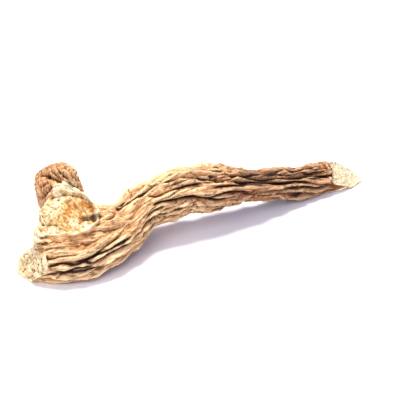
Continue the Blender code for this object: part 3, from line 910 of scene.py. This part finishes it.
# %% How strongly each layer shows: from which value to which, and how much at most
RANGES = {
    # the skin: its base, darker in the broad hollows and paler on the broad rises (soil and rubbing, and
    # painted shade and highlight), its blush, crests rubbed pale and given a painted highlight, painted
    # shade in the pits, and painted shade in fine creases that is broken here and there
    "height": (kept["broad_relief"], -0.8, 0.6, 1.0),
    "blush": (noises["blush"], 0.35, 0.65, 1.0),
    "crest_wear_and_highlight": (kept["sharp_relief"], 0.05, 0.18, 1.0),
    "pit_shade": (kept["sharp_relief"], -0.08, -0.22, 0.85),
    "crease_shade": (from_fold, 0.045, 0.0, 0.9),
    "broken": (noises["torn_edge"], 0.38, 0.52, 1.0),
    # the furrows and the line at their bottom, darkened with painted shade over some dark soil, and their
    # lips, rubbed pale and given a painted highlight
    "furrow": (kept["furrow"], 1.6, 3.2, 0.8),
    "line": (kept["line"], 0.30, 0.65, 0.95),
    "lip": (kept["lip"], 0.5, 1.5, 0.5),
    # the darker parts of the root: the thin part, in its own pinker brown and in a painted shadow, darkened
    # twice, and the crown
    "thin_part_tone_and_shadow": (kept["along"], 96.0, 70.0, 0.85),
    "thin_part_more_tone_and_shadow": (kept["along"], 96.0, 70.0, 0.5),
    "crown": (kept["crown"], 0.2, 0.8, 0.5),
    # the flesh: its paler ends, flecks, fibres in patches, painted shade in its pits, stains, and painted
    # shade in its dents
    "tip": (kept["along"], 28.0, 18.0, 0.55),
    "low_end": (kept["along"], 166.0, 172.0, 0.5),
    "flecks": (noises["flecks"], 0.28, 0.60, 1.0),
    "fibres": (noises["fibres"], 0.30, 0.70, 1.0),
    "patches": (noises["patches"], 0.40, 0.56, 0.95),
    "flesh_pit_shade": (kept["sharp_relief"], -0.05, -0.22, 0.9),
    "flesh": (ragged["cut"], 0.85, 1.05, 1.0),
    "stain": (ragged["stain"], 0.9, 1.3, 0.8),
    "flesh_dent_shade": (kept["dent"], 1.2, 2.4, 0.85),
    # the height of the folds that are too fine for the mesh
    "fold_height": (from_fold, 0.0, 0.12, 1.0),
}
amounts = {name: add_node(tree, "ShaderNodeMapRange", {"Value": value, "From Min": low, "From Max": high,
                                                       "To Max": most}).outputs[0]
           for name, (value, low, high, most) in RANGES.items()}
core = add_node(tree, "ShaderNodeMath", {0: kept["inner"], 1: amounts["patches"]},
                operation="MULTIPLY").outputs[0]
crease_shade = add_node(tree, "ShaderNodeMath", {0: amounts["crease_shade"], 1: amounts["broken"]},
                    operation="MULTIPLY").outputs[0]
print("amounts:", len(amounts))

# %% Colours that run from dark to pale; a ramp has its two ends first, then the stops between them
# The skin's base runs from dark in broad hollows to pale on broad rises: soil and rubbing, and painted
# shade and highlight.
RAMPS = {"height": ((0.0, "#8A542C"), (1.0, "#EAC594"), (0.30, "#C48954"), (0.52, "#DDA972"),
                    (0.75, "#E4B886")),
         "blush": ((0.0, "#A06436"), (1.0, "#F0C898"), (0.5, "#D09A66")),
         "flecks": ((0.0, "#BC8A44"), (1.0, "#F2E5C4"), (0.40, "#E0C48A"), (0.50, "#EAD8AC")),
         "fibres": ((0.0, "#8E5A24"), (1.0, "#EAD29C"), (0.42, "#BC8844"), (0.55, "#D8B272"))}
ramps = {name: add_node(tree, "ShaderNodeValToRGB", {"Fac": amounts[name]},
                        [(position, linear(colour)) for position, colour in stops]).outputs["Color"]
         for name, stops in RAMPS.items()}
print("ramps:", list(ramps))

# %% The layers over skin and flesh: how strong, which colour, and how it is laid on
SKIN = ((0.55, ramps["blush"], "MIX"),
        # The thin part: its own pinker brown, and a painted shadow over it.
        (amounts["thin_part_tone_and_shadow"], linear("#A87E6C"), "MULTIPLY"),
        # Lips and crests: rubbed pale, and a painted highlight over that.
        (amounts["lip"], linear("#E6BE8C"), "MIX"),
        (amounts["crest_wear_and_highlight"], linear("#EFCFA0"), "MIX"),
        # Pits, fine creases, furrows and the lines at their bottoms: painted shade over some dark soil.
        (amounts["pit_shade"], linear("#633A1C"), "MIX"),
        (crease_shade, linear("#6B3F20"), "MIX"),
        (amounts["furrow"], linear("#4A2A16"), "MIX"),
        (amounts["line"], linear("#2E1A0E"), "MIX"),
        # The thin part darkened again: its own tone and more painted shadow.
        (amounts["thin_part_more_tone_and_shadow"], linear("#B08470"), "MULTIPLY"),
        (amounts["crown"], linear("#C8A48A"), "MULTIPLY"))
FLESH = ((core, ramps["fibres"], "MIX"),
         (amounts["low_end"], linear("#F8ECC4"), "MIX"),
         (amounts["stain"], linear("#B06E2A"), "MIX"),
         # Pits and dents in the flesh: painted shade.
         (amounts["flesh_pit_shade"], linear("#8E5A2A"), "MIX"),
         (amounts["flesh_dent_shade"], linear("#4A2C14"), "MIX"),
         (amounts["tip"], linear("#FCF0D0"), "MIX"))
# A Mix node has its sockets for colours at these numbers.
FACTOR, UNDER, OVER, MIXED = 0, 6, 7, 2
layered = []
for colour, layers in ((ramps["height"], SKIN), (ramps["flecks"], FLESH)):
    for amount, over, blend in layers:
        colour = add_node(tree, "ShaderNodeMix", {FACTOR: amount, UNDER: colour, OVER: over},
                          data_type="RGBA", blend_type=blend).outputs[MIXED]
    layered.append(colour)
root_colour = add_node(tree, "ShaderNodeMix", {FACTOR: amounts["flesh"], UNDER: layered[0],
                                               OVER: layered[1]}, data_type="RGBA").outputs[MIXED]
tree.links.new(root_colour, shader.inputs["Base Color"])
print("layers:", len(SKIN), "on the skin and", len(FLESH), "on the flesh")

# %% Dry cork and dry flesh are both matt; fine folds and grit, too fine for the mesh, catch the light
shader.inputs["Roughness"].default_value = 0.85
shader.inputs["Specular IOR Level"].default_value = 0.25
unevenness = add_node(tree, "ShaderNodeMath", {0: amounts["fold_height"], 1: noises["grit"]},
                      operation="ADD").outputs[0]
bump = add_node(tree, "ShaderNodeBump", {"Height": unevenness, "Strength": 0.9, "Distance": 0.35 * MM})
tree.links.new(bump.outputs["Normal"], shader.inputs["Normal"])
body.materials.clear()
body.materials.append(finish)
print("nodes in the finish:", len(tree.nodes))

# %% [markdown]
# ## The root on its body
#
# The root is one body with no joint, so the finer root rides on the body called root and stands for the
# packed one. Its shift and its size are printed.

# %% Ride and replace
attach(root, "root")
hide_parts("gentian_root")
